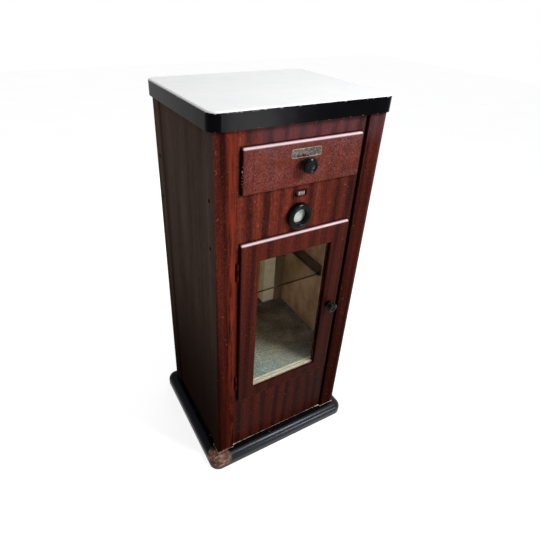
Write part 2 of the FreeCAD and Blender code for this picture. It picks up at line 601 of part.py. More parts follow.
def glazing_beads():
    """Four mitred beads behind the glass, bevelled towards the sight opening."""
    outer_x = SIGHT_X + GLASS_REBATE
    outer_z = (SIGHT_Z[0] - GLASS_REBATE, SIGHT_Z[1] + GLASS_REBATE)
    ys = (GLASS_FACE + GLASS_T, INNER_BACK)
    frame = block((-outer_x, outer_x), ys, outer_z).cut(block((-SIGHT_X, SIGHT_X), ys, SIGHT_Z))
    inner = [e for e in frame.Edges if on_planes(e, y=INNER_BACK)]
    inner = [e for e in inner if max(abs(v.Point.x) for v in e.Vertexes) < SIGHT_X + 1]
    frame = frame.makeChamfer(BEAD_BEVEL, inner)
    middle_z = sum(SIGHT_Z) / 2

    def length_of(corners):
        outline = Part.makePolygon([Vector(x, ys[0], z) for x, z in corners + corners[:1]])
        return frame.common(Part.Face(outline).extrude(ALONG_Y * (ys[1] - ys[0])))

    beads = {}
    for side, name in SIDE_NAMES.items():
        far, near = side * outer_x, side * SIGHT_X
        corners = [(far, outer_z[0]), (far, outer_z[1]), (near, SIGHT_Z[1]), (near, SIGHT_Z[0])]
        beads[name] = length_of(corners)
    for name, far, near in (("bottom", outer_z[0], SIGHT_Z[0]), ("top", outer_z[1], SIGHT_Z[1])):
        beads[name] = length_of([(-outer_x, far), (outer_x, far), (SIGHT_X, near), (-SIGHT_X, near)])
    return beads


# ---- hinges ----
def knuckle(centre, part):
    """One of the hinge's three knuckles, numbered -1, 0 and 1 from below."""
    low = centre + (part - 0.5) * HINGE_L / 3
    trim_low = KNUCKLE_GAP / 2 if part > -1 else 0
    trim_high = KNUCKLE_GAP / 2 if part < 1 else 0
    foot = Vector(*HINGE_AXIS, low + trim_low)
    return bar(foot, ALONG_Z, KNUCKLE_R, HINGE_L / 3 - trim_low - trim_high)


def hinge_leaf(centre, ys, own, others, bore_r):
    """Flat leaf with its own knuckles, cleared round the other leaf's, and bored for the pin."""
    low, high = centre - HINGE_L / 2, centre + HINGE_L / 2
    leaf = block((HINGE_AXIS[0], LEAF_INNER_X), ys, (low, high))
    for part in others:
        foot = Vector(*HINGE_AXIS, centre + (part - 0.5) * HINGE_L / 3 - KNUCKLE_GAP / 2)
        leaf = leaf.cut(bar(foot, ALONG_Z, KNUCKLE_R + KNUCKLE_GAP, HINGE_L / 3 + KNUCKLE_GAP))
    for part in own:
        leaf = leaf.fuse(knuckle(centre, part))
    return leaf.cut(bar(Vector(*HINGE_AXIS, low), ALONG_Z, bore_r, HINGE_L)).removeSplitter()


def frame_leaf(centre):
    """Leaf let into the fascia, with the lower and the upper knuckle."""
    return hinge_leaf(centre, (FASCIA_Y, FASCIA_Y + LEAF_T), (-1, 1), (0,), PIN_R)


def door_leaf(centre):
    """Leaf let into the back of the door's lip, with the middle knuckle."""
    return hinge_leaf(centre, (LIP_BACK - LEAF_T, LIP_BACK), (0,), (-1, 1), PIN_R + PIN_CLEARANCE)


def hinge_pin(centre):
    return bar(Vector(*HINGE_AXIS, centre - HINGE_L / 2), ALONG_Z, PIN_R, HINGE_L)


# ---- turn catch ----
def knob_rose():
    """Collar between the door's face and the knob."""
    bore_r = SPINDLE_R + PIN_CLEARANCE
    profile = [(bore_r, 0), (ROSE_R, 0), (ROSE_R, ROSE_T), (bore_r, ROSE_T)]
    return turned(profile, DOOR_KNOB_X, DOOR_KNOB_Z, LIP_FACE)


def door_knob():
    profile = knob_profile(DOOR_KNOB_R, 6.0, ROSE_T + 0.4, DOOR_KNOB_PROJECTION)
    knob = turned(profile, DOOR_KNOB_X, DOOR_KNOB_Z, LIP_FACE)
    return knob.cut(latch_spindle())


def latch_spindle():
    start = Vector(DOOR_KNOB_X, SPINDLE_Y[0], DOOR_KNOB_Z)
    return bar(start, ALONG_Y, SPINDLE_R, SPINDLE_Y[1] - SPINDLE_Y[0])


def latch_tongue():
    """Flat plate on the spindle's end, hanging down when the catch is free."""
    near = SPINDLE_Y[1] - TONGUE_PLATE_T
    half = TONGUE_PLATE_W / 2
    ys = (near, SPINDLE_Y[1])
    tip = DOOR_KNOB_Z - TONGUE_PLATE_L + half
    plate = block((DOOR_KNOB_X - half, DOOR_KNOB_X + half), ys, (tip, DOOR_KNOB_Z))
    plate = plate.fuse(bar(Vector(DOOR_KNOB_X, near, DOOR_KNOB_Z), ALONG_Y, half + 2.0, TONGUE_PLATE_T))
    plate = plate.fuse(bar(Vector(DOOR_KNOB_X, near, tip), ALONG_Y, half, TONGUE_PLATE_T))
    return plate.removeSplitter().cut(latch_spindle())


# ---- write every sub-part ----
for side, side_name in SIDE_NAMES.items():
    save(f"post_front_{side_name}", post(side, FRONT_END))
    save(f"post_rear_{side_name}", post(side, REAR_END))
    save(f"side_panel_{side_name}", side_panel(side))
    save(f"shelf_bearer_{side_name}", shelf_bearer(side))
    save(f"drawer_runner_{side_name}", drawer_runner(side))
    save(f"drawer_side_{side_name}", drawer_side(side))
save("front_panel", front_panel())
save("rear_panel", rear_panel())
inside_y = (FASCIA_BACK, REAR_INNER_Y)
save("bottom_board", between_posts(SIDE_INNER_X, inside_y, (PLINTH_H, PLINTH_H + FLOOR_T)))
floor_z = (CUPBOARD_FLOOR_Z - FLOOR_T, CUPBOARD_FLOOR_Z)
save("cupboard_floor", between_posts(SIDE_INNER_X, inside_y, floor_z))
save("rear_battens", Part.makeCompound([rear_batten(side) for side in SIDE_NAMES]))
save("floor_lining", floor_lining())
save("compartment_floor", screwed_board(COMPARTMENT_FLOOR_Z))
save("drawer_deck", screwed_board(DRAWER_DECK_Z))
save("carcass_screws", Part.makeCompound([carcass_screw(*place) for place in SCREW_PLACES]))
save("glass_shelf", glass_shelf())
save("enamel_top", enamel_top())
save("top_board", top_board())
for name, member in plinth_members().items():
    save(f"plinth_{name}", member)

save("lamp_bezel", lamp_bezel())
save("lamp_lens", lamp_lens())
save("lamp_nut", lamp_nut())
save("lamp_holder", lamp_holder())
save("lamp_bulb", lamp_bulb())
save("switch_plate", switch_plate())
save("switch_body", switch_body())
save("switch_lever", switch_lever())
save("cable_gland", cable_gland())

save("drawer_front", drawer_front())
save("drawer_back", drawer_back())
save("drawer_bottom", drawer_bottom())
save("drawer_knob", drawer_knob())
save("drawer_knob_screw", drawer_knob_screw())

for name, member in door_members().items():
    save(f"door_{name}", member)
save("door_glass", door_glass())
for name, bead in glazing_beads().items():
    save(f"glazing_bead_{name}", bead)
for name, centre in HINGE_CENTRES_Z.items():
    save(f"hinge_{name}_frame_leaf", frame_leaf(centre))
    save(f"hinge_{name}_door_leaf", door_leaf(centre))
save("hinge_pins", Part.makeCompound([hinge_pin(centre) for centre in HINGE_CENTRES_Z.values()]))

save("knob_rose", knob_rose())
save("door_knob", door_knob())
save("latch_spindle", latch_spindle())
save("latch_tongue", latch_tongue())
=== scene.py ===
"""Treatment-room cabinet: materials, smooth turned pieces, small trim, floor, light and camera, all round
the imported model."""
import math
import random

import bmesh
import bpy
from mathutils import Matrix, Vector


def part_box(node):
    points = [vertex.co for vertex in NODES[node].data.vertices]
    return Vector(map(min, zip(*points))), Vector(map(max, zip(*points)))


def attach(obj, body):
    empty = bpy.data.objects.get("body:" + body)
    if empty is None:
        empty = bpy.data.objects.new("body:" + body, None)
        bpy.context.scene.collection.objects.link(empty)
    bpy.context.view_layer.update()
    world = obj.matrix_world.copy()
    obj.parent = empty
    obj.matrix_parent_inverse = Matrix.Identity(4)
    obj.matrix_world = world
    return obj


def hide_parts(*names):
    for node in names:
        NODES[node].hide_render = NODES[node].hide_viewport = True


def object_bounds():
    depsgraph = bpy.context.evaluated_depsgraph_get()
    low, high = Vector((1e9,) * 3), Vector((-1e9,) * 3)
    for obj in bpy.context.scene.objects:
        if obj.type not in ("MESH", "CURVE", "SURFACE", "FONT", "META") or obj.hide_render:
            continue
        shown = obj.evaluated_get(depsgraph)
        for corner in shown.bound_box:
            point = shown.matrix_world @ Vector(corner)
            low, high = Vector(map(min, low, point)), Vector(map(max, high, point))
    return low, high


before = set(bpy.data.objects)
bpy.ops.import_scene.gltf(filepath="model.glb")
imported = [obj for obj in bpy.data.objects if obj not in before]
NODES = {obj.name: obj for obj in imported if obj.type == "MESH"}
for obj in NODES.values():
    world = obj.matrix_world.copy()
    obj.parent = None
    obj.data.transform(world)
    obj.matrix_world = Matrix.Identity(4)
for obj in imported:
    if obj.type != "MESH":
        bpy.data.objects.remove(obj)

CAD_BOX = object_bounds()
MM = 0.001

# ---- places read from the frame, in metres ----
SKIRT_LOW, TOP_Z = (corner.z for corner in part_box("enamel_top"))
PLINTH_LOW, PLINTH_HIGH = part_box("plinth_front")
POST_LEFT_LOW, POST_LEFT_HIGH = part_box("post_front_left")
POST_RIGHT_LOW, POST_RIGHT_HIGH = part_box("post_front_right")
SIDE_INNER_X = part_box("side_panel_right")[0].x
REAR_PANEL_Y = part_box("rear_panel")[0].y
FASCIA_LOW, FASCIA_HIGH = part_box("front_panel")
DRAWER_LOW, DRAWER_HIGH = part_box("drawer_front")
DOOR_LOW, STILE_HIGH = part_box("door_stile_hinge")
LINING_LOW, LINING_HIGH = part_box("floor_lining")
BODY_FOOT = POST_LEFT_LOW.z
# The door reaches as far to the right of the middle as to the left.
DOOR_HIGH = Vector((-DOOR_LOW.x, 0, STILE_HIGH.z))

# ---- sizes of the small pieces, in millimetres ----
PLATE_W, PLATE_H, PLATE_T, PLATE_RIM = 61.0, 16.0, 0.7, 1.1
PLATE_CLIP, PLATE_Z = 2.2, 749.0
BARREL_R, BORE_R, SIGHT_R, LENS_SEAT = 19.5, 17.5, 14.6, 0.6
FILLER_R, FILLER_STEP, FILLER_FADE, FILLER_SIDE_RUN = 0.55, 3.0, 13.0, 30.0
# Further behind their faces than this, the drawer front and the door are bare wood.
BARE_BACK = 17.3

# ---- ribbon figure of the front: ribbons a metre at x = 0, how they close up, lean and start ----
RIBBONS_PER_METRE, RIBBON_BEND = 31.5, 14.6
RIBBON_LEAN, RIBBON_START = 0.45, 0.495

# ---- lamps as name, place, aim, side in metres and watts ----
LAMPS = (
    ("window", (0.62, -1.02, 1.45), (0.0, 0.0, 0.62), 0.36, 14.5),
    ("front", (0.90, -1.95, 0.28), (0.0, 0.0, 0.2), 0.36, 9.0),
    ("overhead", (0.0, -0.1, 2.1), (0.0, 0.0, 0.8), 0.9, 3.0),
    ("rear", (0.7, 1.6, 0.5), (0.0, 0.1, 0.4), 0.8, 6.0),
)
SURROUND_LIGHT, FLOOR_GLOW = 0.35, 0.78

# ---- camera: metres, degrees, millimetres, and pixels of the square picture ----
CAMERA_PLACE = (-0.4232, -0.7069, 0.9754)
AZIMUTH, ELEVATION, ROLL = -29.6975, 32.1654, 1.9251
LENS, SENSOR = 28.449, 36.0
PICTURE_SIDE = 540
AXIS_PIXEL = (250.12, 258.42)


def centre(node):
    low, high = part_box(node)
    return (low + high) / 2


# ---- materials ----
def linear(colour):
    """Scene colour of a colour written as it shows, 0 to 255 a channel."""

    def channel(value):
        share = value / 255
        return share / 12.92 if share <= 0.04045 else ((share + 0.055) / 1.055) ** 2.4

    return (*(channel(value) for value in colour), 1.0)


class Graph:
    """Short calls for building one material's node tree. Places are in metres, in the row frame."""

    def __init__(self, name):
        self.material = bpy.data.materials.new(name)
        self.material.use_nodes = True
        self.tree = self.material.node_tree
        self.tree.nodes.clear()
        self.output = self.tree.nodes.new("ShaderNodeOutputMaterial")
        self.place = self.node("ShaderNodeTexCoord").outputs["Object"]
        self.x, self.y, self.z = self.node("ShaderNodeSeparateXYZ", Vector=self.place).outputs

    def feed(self, socket, value):
        if isinstance(value, bpy.types.NodeSocket):
            self.tree.links.new(value, socket)
        else:
            socket.default_value = value

    def node(self, kind, settings=(), **inputs):
        made = self.tree.nodes.new(kind)
        for key, value in dict(settings).items():
            setattr(made, key, value)
        for key, value in inputs.items():
            self.feed(made.inputs[key], value)
        return made

    def math(self, operation, a, b=0.0):
        made = self.node("ShaderNodeMath", {"operation": operation})
        self.feed(made.inputs[0], a)
        self.feed(made.inputs[1], b)
        return made.outputs[0]

    def add(self, a, b):
        return self.math("ADD", a, b)

    def times(self, a, b):
        return self.math("MULTIPLY", a, b)

    def most(self, a, b):
        return self.math("MAXIMUM", a, b)

    def off_middle(self):
        """Distance to the left or right of the cabinet's middle."""
        return self.math("ABSOLUTE", self.x)

    def swing(self, value, amount):
        """A 0 to 1 value turned into one from minus to plus half the amount."""
        return self.times(self.add(value, -0.5), amount)

    def step(self, value, start, end):
        """0 at start, 1 at end, eased between them."""
        made = self.node("ShaderNodeMapRange", {"interpolation_type": "SMOOTHSTEP"}, Value=value)
        made.inputs["From Min"].default_value = start
        made.inputs["From Max"].default_value = end
        return made.outputs["Result"]

    def near(self, value, middle, reach):
        """1 at the middle value, falling to 0 at this reach on either side."""
        away = self.math("ABSOLUTE", self.add(value, -middle))
        return self.add(1.0, self.times(self.step(away, 0.0, reach), -1.0))

    def beyond(self, value, limit, blur=0.6 * MM):
        """1 where the value is over the limit, or under it where the blur is negative."""
        return self.step(value, limit - blur, limit + blur)

    def noise(self, per_metre, detail=2.0, shift=0.0):
        """Noise with this many features a metre along X, Y and Z."""
        scaled = self.node("ShaderNodeVectorMath", {"operation": "MULTIPLY_ADD"})
        self.feed(scaled.inputs[0], self.place)
        scaled.inputs[1].default_value = per_metre
        scaled.inputs[2].default_value = (shift, shift * 0.7, shift * 1.3)
        made = self.node("ShaderNodeTexNoise", Vector=scaled.outputs[0], Scale=1.0, Detail=detail)
        return made.outputs["Fac"]

    def distance(self, point):
        made = self.node("ShaderNodeVectorMath", {"operation": "DISTANCE"})
        self.feed(made.inputs[0], self.place)
        made.inputs[1].default_value = point
        return made.outputs["Value"]

    def ramp(self, factor, *stops):
        made = self.node("ShaderNodeValToRGB", Fac=factor)
        marks = made.color_ramp.elements
        while len(marks) < len(stops):
            marks.new(0.5)
        for mark, (position, colour) in zip(marks, stops):
            mark.position = position
            mark.color = linear(colour)
        return made.outputs["Color"]

    def over(self, factor, under, colour):
        """A colour, or another result, laid over what is there by this much."""
        made = self.node("ShaderNodeMix", {"data_type": "RGBA"})
        self.feed(made.inputs[0], factor)
        self.feed(made.inputs[6], linear(under) if isinstance(under, tuple) else under)
        self.feed(made.inputs[7], linear(colour) if isinstance(colour, tuple) else colour)
        return made.outputs[2]

    def relief(self, height, depth):
        """Bumped normal from a height of 0 to 1 that stands for this depth in metres."""
        return self.node("ShaderNodeBump", Height=height, Distance=depth).outputs["Normal"]

    def surface(self, colour, roughness, normal=None, **plain):
        """Principled surface. Plain values are set on the shader's own sockets."""
        shader = self.node("ShaderNodeBsdfPrincipled")
        self.feed(shader.inputs["Base Color"], linear(colour) if isinstance(colour, tuple) else colour)
        self.feed(shader.inputs["Roughness"], roughness)
        if normal is not None:
            self.feed(shader.inputs["Normal"], normal)
        for name, value in plain.items():
            shader.inputs[name.replace("_", " ")].default_value = value
        self.tree.links.new(shader.outputs["BSDF"], self.output.inputs["Surface"])
        return shader


def ribbons(g, turns):
    """Ribbon figure of quarter-cut veneer: how much each spot is darkened, and how much brightened.
    A dark ribbon runs along every whole turn, and a bright one between two of them."""
    drift = g.swing(g.noise((17, 1, 2.4), 1.0, shift=3.1), 0.9)
    wave = g.math("COSINE", g.times(g.add(turns, drift), math.tau))
    uneven = g.noise((30, 9, 4.0), 2.0, shift=1.7)
    dark = g.times(g.step(wave, -0.1, 0.95), g.step(uneven, 0.25, 0.62))
    bright = g.times(g.step(wave, -0.2, -1.0), g.step(uneven, 0.70, 0.34))
    return dark, bright


def front_turns(g, offset=0.0):
    """Ribbons across the front: 35 mm apart at the left, 29 mm at the right, and leaning a little."""
    bend = g.times(g.math("POWER", g.x, 2.0), RIBBON_BEND)
    turns = g.add(g.times(g.x, RIBBONS_PER_METRE), bend)
    return g.add(g.add(turns, g.times(g.z, -RIBBON_LEAN)), RIBBON_START + offset)


def mahogany(g, turns, tone=0.6, strength=1.0, mottle=0.6):
    """Colour and fleck of the varnished front: painted shade making it darker and browner towards the floor
    and darker on the right, a painted pinkish reflection under the top, and a few pale nicks."""
    dark, bright = ribbons(g, turns)
    streak = g.noise((250, 90, 5), 3.0, shift=5.3)
    fleck = g.noise((520, 420, 130), 2.0, shift=2.2)
    speckle = g.noise((300, 300, 210), 3.0, shift=7.4)
    figure = g.add(g.times(dark, -0.34 * strength), g.times(bright, 0.13 * strength))
    figure = g.add(figure, g.swing(streak, 0.42))
    figure = g.add(figure, g.swing(fleck, 0.34))
    figure = g.add(g.add(figure, g.swing(speckle, mottle)), tone)
    colour = g.ramp(
        figure,
        (0.16, (46, 19, 17)),
        (0.38, (74, 31, 25)),
        (0.6, (101, 42, 31)),
        (0.8, (124, 55, 39)),
        (1.0, (156, 80, 58)),
    )
    # Painted shade: darker and browner towards the floor.
    colour = g.over(g.times(g.step(g.z, 0.64, 0.10), 0.66), colour, (30, 5, 1))
    # Painted shade: darker on the right, more so below the drawer.
    shade = g.add(0.24, g.times(g.step(g.z, 0.725, 0.66), 0.24))
    colour = g.over(g.times(g.step(g.x, -0.02, 0.12), shade), colour, (34, 15, 12))
    # Painted reflection: a pinkish haze under the top.
    cloud = g.noise((70, 70, 24), 3.0, shift=4.0)
    painted_reflection = g.times(g.step(g.z, 0.735, 0.785), g.step(cloud, 0.2, 0.6))
    painted_reflection = g.times(painted_reflection, g.step(g.x, -0.125, -0.07))
    colour = g.over(g.times(painted_reflection, 0.6), colour, (84, 58, 66))
    nicks = g.beyond(g.noise((170, 170, 170), 1.0, shift=9.4), 0.755, 0.02)
    return g.over(g.times(nicks, 0.26), colour, (176, 124, 112)), fleck


def varnish(g, colour, fleck):
    """Surface of the front, which keeps a little of its gloss."""
    roughness = g.add(0.26, g.times(fleck, 0.16))
    g.surface(colour, roughness, g.relief(fleck, 0.08 * MM), Specular_IOR_Level=0.015)
    return g.material


def dull(g, colour, fleck, roughness):
    """Surface of wood whose varnish has lost its gloss."""
    rough = g.add(roughness, g.times(fleck, 0.2))
    g.surface(colour, rough, g.relief(fleck, 0.1 * MM), Specular_IOR_Level=0.0)
    return g.material


def round_outline(g, low, high, reach):
    """1 on the outline of a front that covers this box, falling to 0 at this reach outside it."""
    beside = g.most(g.add(low.x, g.times(g.x, -1.0)), g.add(g.x, -high.x))
    above = g.most(g.add(low.z, g.times(g.z, -1.0)), g.add(g.z, -high.z))
    return g.step(g.most(beside, above), reach, 0.2 * MM)


def planed_wood(g, dark, light, per_metre=(110, 110, 6)):
    """Bare wood of the faces inside the cabinet, with its grain along Z unless told otherwise."""
    return g.ramp(g.noise(per_metre, 3.0, shift=2.0), (0.3, dark), (0.7, light))


def fascia_veneer():
    """Front panel: painted shade making it browner still by the plinth and darker towards the right post, a
    painted shadow round the drawer and the door, painted black shade in the joint by the right post, and a
    bare back."""
    g = Graph("fascia_veneer")
    colour, fleck = mahogany(g, front_turns(g))
    # Painted shade: browner still by the plinth.
    colour = g.over(g.times(g.step(g.z, 0.24, 0.14), 0.14), colour, (26, 4, 1))
    # Painted shade: darker towards the right post.
    edge = g.step(g.x, 0.100, 0.122)
    colour = g.over(g.times(edge, 0.34), colour, (40, 20, 20))
    # Painted shadow: a dark line round the drawer and the door, where their lips shade the panel.
    for low, high in ((DRAWER_LOW, DRAWER_HIGH), (DOOR_LOW, DOOR_HIGH)):
        grime_and_shadow = round_outline(g, low, high, 3.0 * MM)
        colour = g.over(g.times(grime_and_shadow, 0.9), colour, (30, 8, 6))
    # Painted shade: black in the joint by the right post.
    gap = g.step(g.x, -POST_LEFT_HIGH.x - 2.2 * MM, -POST_LEFT_HIGH.x - 0.6 * MM)
    colour = g.over(g.times(gap, 0.95), colour, (16, 5, 4))
    inside = g.beyond(g.y, FASCIA_HIGH.y - 0.6 * MM)
    colour = g.over(inside, colour, planed_wood(g, (102, 78, 54), (138, 110, 80)))
    return varnish(g, colour, fleck)


def lip_highlight_and_side_shade(g, colour, low, high):
    """Painted highlight along the lip on top of a front, pale pink with a whiter crest, and painted shade
    darkening its side edges.
    """
    # Painted highlight: the lip's rounded top drawn pale pink.
    up = g.step(g.z, high.z - 4.8 * MM, high.z - 2.0 * MM)
    forward = g.step(g.y, low.y + 8 * MM, low.y + 0.3 * MM)
    wear_and_painted_light = g.add(0.55, g.times(g.noise((60, 60, 60), 3.0, shift=9.0), 0.3))
    colour = g.over(g.times(g.times(up, forward), wear_and_painted_light), colour, (206, 160, 172))
    # Painted highlight: a whiter line along the crest of the lip.
    crest = g.step(g.z, high.z - 3.4 * MM, high.z - 1.6 * MM)
    crest = g.times(crest, g.step(g.y, low.y + 4.4 * MM, low.y + 2.0 * MM))
    colour = g.over(g.times(crest, wear_and_painted_light), colour, (246, 232, 236))
    # Painted shade: dark side edges.
    beside = g.beyond(g.off_middle(), high.x - 1.6 * MM, 0.8 * MM)
    return g.over(g.times(beside, 0.85), colour, (20, 8, 7))


def drawer_veneer():
    """Drawer front: an even, hazy and finely speckled piece, with white chips on its left edge."""
    g = Graph("drawer_veneer")
    colour, fleck = mahogany(g, front_turns(g), 0.60, 0.2, 0.5)
    bloom_and_highlight = g.noise((520, 520, 520), 1.0, shift=6.4)
    cloud = g.add(0.16, g.times(g.step(g.noise((42, 42, 42), 3.0, shift=1.2), 0.36, 0.64), 0.22))
    colour = g.over(g.times(g.step(bloom_and_highlight, 0.36, 0.68), cloud), colour, (150, 104, 102))
    colour = lip_highlight_and_side_shade(g, colour, DRAWER_LOW, DRAWER_HIGH)
    along = g.near(g.z, (DRAWER_LOW.z + DRAWER_HIGH.z) / 2 - 6 * MM, 24 * MM)
    edge = g.step(g.x, DRAWER_LOW.x + 1.8 * MM, DRAWER_LOW.x + 0.8 * MM)
    edge = g.times(edge, g.step(g.y, DRAWER_LOW.y + 3.4 * MM, DRAWER_LOW.y + 2.2 * MM))
    flaked = g.beyond(g.noise((330, 330, 330), 2.0, shift=2.0), 0.55, 0.02)
    chips = g.times(g.times(g.step(along, 0.1, 0.4), edge), flaked)
    colour = g.over(chips, colour, (226, 214, 200))
    inside = g.beyond(g.y, DRAWER_LOW.y + BARE_BACK * MM)
    colour = g.over(inside, colour, planed_wood(g, (116, 80, 54), (150, 110, 78), (6, 110, 110)))
    return varnish(g, colour, fleck)


def door_veneer():
    """Door frame: plainer and darker than the panel behind it."""
    g = Graph("door_veneer")
    colour, fleck = mahogany(g, front_turns(g, -0.27), 0.48, 0.6)
    colour = lip_highlight_and_side_shade(g, colour, DOOR_LOW, DOOR_HIGH)
    inside = g.beyond(g.y, DOOR_LOW.y + BARE_BACK * MM)
    colour = g.over(inside, colour, planed_wood(g, (78, 48, 33), (114, 76, 54)))
    return varnish(g, colour, fleck)


def side_figure(g):
    """Plain straight grain of the cabinet's sides, much browner and greyer than the front: a less red wood
    with a painted grey reflection in its colour, and painted shade darkening it towards the floor.
    """
    grain = g.noise((40, 40, 2.0), 3.0, shift=3.0)
    fleck = g.noise((420, 420, 50), 2.0, shift=7.0)
    cloud = g.noise((9, 9, 5), 3.0, shift=6.1)
    figure = g.add(g.add(g.swing(grain, 0.6), g.swing(fleck, 0.4)), 0.5)
    # Partly painted reflection: the ramp holds the grey that reflections lend the sides.
    colour = g.ramp(figure, (0.2, (62, 48, 43)), (0.5, (92, 76, 69)), (0.8, (116, 99, 90)))
    colour = g.over(g.times(g.step(cloud, 0.4, 0.7), 0.35), colour, (112, 92, 84))
    # Painted shade: darker towards the floor.
    return g.over(g.times(g.step(g.z, 0.66, 0.08), 0.9), colour, (30, 16, 11)), fleck


def post_veneer(name, low, high, turns_per_metre, start, lean, left):
    """Front post: mahogany in front, side grain outside and bare wood within. The left one has a bright
    ribbon by its inner edge, fading with painted shade towards the floor, and a rubbed foot. The right one
    has painted black shade along its inner edge and a painted pale highlight along its outer edge."""
    g = Graph(name)
    turns = g.add(g.add(g.times(g.x, turns_per_metre), start), g.times(g.z, lean))
    tone, strength = (0.40, 1.0) if left else (0.44, 0.5)
    colour, fleck = mahogany(g, turns, tone, strength)
    if left:
        band = g.near(g.x, high.x - 6.5 * MM, 16 * MM)
        band = g.times(band, g.step(g.noise((230, 60, 20), 3.0, shift=8.0), 0.28, 0.64))
        # Painted shade: the ribbon fades towards the floor.
        band = g.times(band, g.add(0.44, g.times(g.step(g.z, 0.16, 0.5), 0.52)))
        colour = g.over(band, colour, (132, 52, 34))
        rubbed = g.step(g.noise((160, 160, 90), 3.0), 0.4, 0.6)
        rubbed = g.times(rubbed, g.step(g.z, low.z + 8 * MM, low.z + 1 * MM))
        colour = g.over(g.times(rubbed, 0.7), colour, (158, 124, 104))
    else:
        # Painted shade: black along the inner edge.
        arris = g.step(g.x, low.x + 4.2 * MM, low.x + 1.6 * MM)
        colour = g.over(g.times(arris, 0.92), colour, (15, 5, 4))
        # Painted highlight: pale along the outer edge.
        bloom_and_highlight = g.times(g.noise((90, 90, 30), 3.0, shift=5.0), 0.4)
        bloom_and_highlight = g.times(bloom_and_highlight, g.step(g.x, high.x - 8 * MM, high.x - 1 * MM))
        colour = g.over(bloom_and_highlight, colour, (150, 96, 96))
    side, _ = side_figure(g)
    outside = g.beyond(g.off_middle(), POST_RIGHT_HIGH.x - 0.7 * MM)
    colour = g.over(outside, colour, side)
    inside = g.beyond(g.y, FASCIA_HIGH.y - 0.2 * MM)
    within = g.times(inside, g.beyond(g.off_middle(), SIDE_INNER_X, -0.6 * MM))
    colour = g.over(within, colour, planed_wood(g, (110, 84, 60), (150, 120, 90)))
    return dull(g, colour, fleck, 0.3)


def rear_post_veneer():
    """Rear posts: side grain outside, bare brown wood inside the cupboard."""
    g = Graph("rear_post_veneer")
    colour, fleck = side_figure(g)
    ahead = g.beyond(g.y, REAR_PANEL_Y, -0.6 * MM)
    within = g.times(ahead, g.beyond(g.off_middle(), SIDE_INNER_X, -0.6 * MM))
    colour = g.over(within, colour, planed_wood(g, (112, 86, 60), (146, 116, 84)))
    return dull(g, colour, fleck, 0.45)


def side_veneer():
    """Side and rear panels: straight dark grain outside, tan distemper inside."""
    g = Graph("side_veneer")
    colour, fleck = side_figure(g)
    inside_x = g.beyond(g.off_middle(), SIDE_INNER_X + 0.6 * MM, -0.4 * MM)
    within = g.times(inside_x, g.beyond(g.y, REAR_PANEL_Y + 0.6 * MM, -0.4 * MM))
    stain = g.noise((22, 22, 14), 4.0, shift=5.0)
    speck = g.noise((300, 300, 300), 2.0, shift=1.0)
    figure = g.add(stain, g.swing(speck, 0.7))
    tan = g.ramp(figure, (0.3, (132, 100, 72)), (0.5, (170, 134, 100)), (0.72, (196, 164, 130)))
    colour = g.over(within, colour, tan)
    return dull(g, colour, fleck, 0.45)


def raw_wood(name, dark, light, along, gloss=0.2):
    """Wood with its grain along X or Y, either bare or, with no gloss, under stain or paint."""
    g = Graph(name)
    per_metre = {"x": (3, 120, 120), "y": (120, 3, 120)}[along]
    grain = g.noise(per_metre, 3.0, shift=2.0)
    pores = g.noise(tuple(4 * count for count in per_metre), 2.0, shift=5.0)
    figure = g.add(grain, g.swing(pores, 0.4))
    colour = g.ramp(figure, (0.25, dark), (0.75, light))
    rough = g.add(0.55, g.times(pores, 0.2))
    g.surface(colour, rough, g.relief(pores, 0.15 * MM), Specular_IOR_Level=gloss)
    return g.material


def cupboard_floor_wood():
    """Floor board with a strip of cream paint in front of its lining."""
    g = Graph("cupboard_floor_wood")
    grain = g.noise((3, 120, 120), 3.0, shift=2.0)
    colour = g.ramp(grain, (0.25, (120, 92, 62)), (0.75, (158, 128, 90)))
    strip = g.beyond(g.y, LINING_LOW.y + 1 * MM, -0.4 * MM)
    wear_and_painted_light = g.noise((50, 90, 50), 3.0, shift=7.0)
    paint = g.ramp(wear_and_painted_light, (0.3, (172, 162, 142)), (0.6, (194, 186, 166)))
    g.surface(g.over(strip, colour, paint), 0.6, g.relief(wear_and_painted_light, 0.2 * MM), Specular_IOR_Level=0.2)
    return g.material


def cream_paint(name, dark, light):
    g = Graph(name)
    brushed = g.noise((60, 90, 60), 3.0, shift=3.0)
    colour = g.ramp(brushed, (0.3, dark), (0.6, light))
    g.surface(colour, 0.5, g.relief(brushed, 0.04 * MM), Specular_IOR_Level=0.05)
    return g.material


def speckled_lining():
    """Floor sheet in a fine speckle: grey-green and pale in a painted pool of light towards the front left,
    darker and browner in painted shade towards the back right.
    """
    g = Graph("speckled_lining")
    speck = g.noise((310, 310, 310), 2.0, shift=2.0)
    blotch = g.noise((24, 24, 24), 3.0, shift=8.0)
    figure = g.add(g.add(0.5, g.swing(speck, 1.35)), g.swing(blotch, 0.8))
    # Painted shade: a darker, browner copy of the sheet.
    bare = g.ramp(figure, (0.2, (62, 54, 42)), (0.5, (100, 90, 72)), (0.85, (142, 132, 110)))
    pale = g.ramp(figure, (0.2, (92, 105, 98)), (0.5, (129, 143, 134)), (0.85, (166, 181, 172)))
    # Painted light: a pool of light at the front left turns the sheet pale.
    wear_and_painted_light = g.add(g.add(g.y, g.times(g.x, 0.75)), g.swing(blotch, 0.12))
    colour = g.over(g.times(g.step(wear_and_painted_light, 0.01, -0.15), 0.92), bare, pale)
    # Painted highlight: a pale line along the upturned rim at both sides.
    rim = g.step(g.off_middle(), LINING_HIGH.x - 3.4 * MM, LINING_HIGH.x - 1.8 * MM)
    colour = g.over(g.times(rim, 0.8), colour, (168, 150, 122))
    g.surface(colour, 0.6, g.relief(speck, 0.2 * MM), Specular_IOR_Level=0.04)
    return g.material


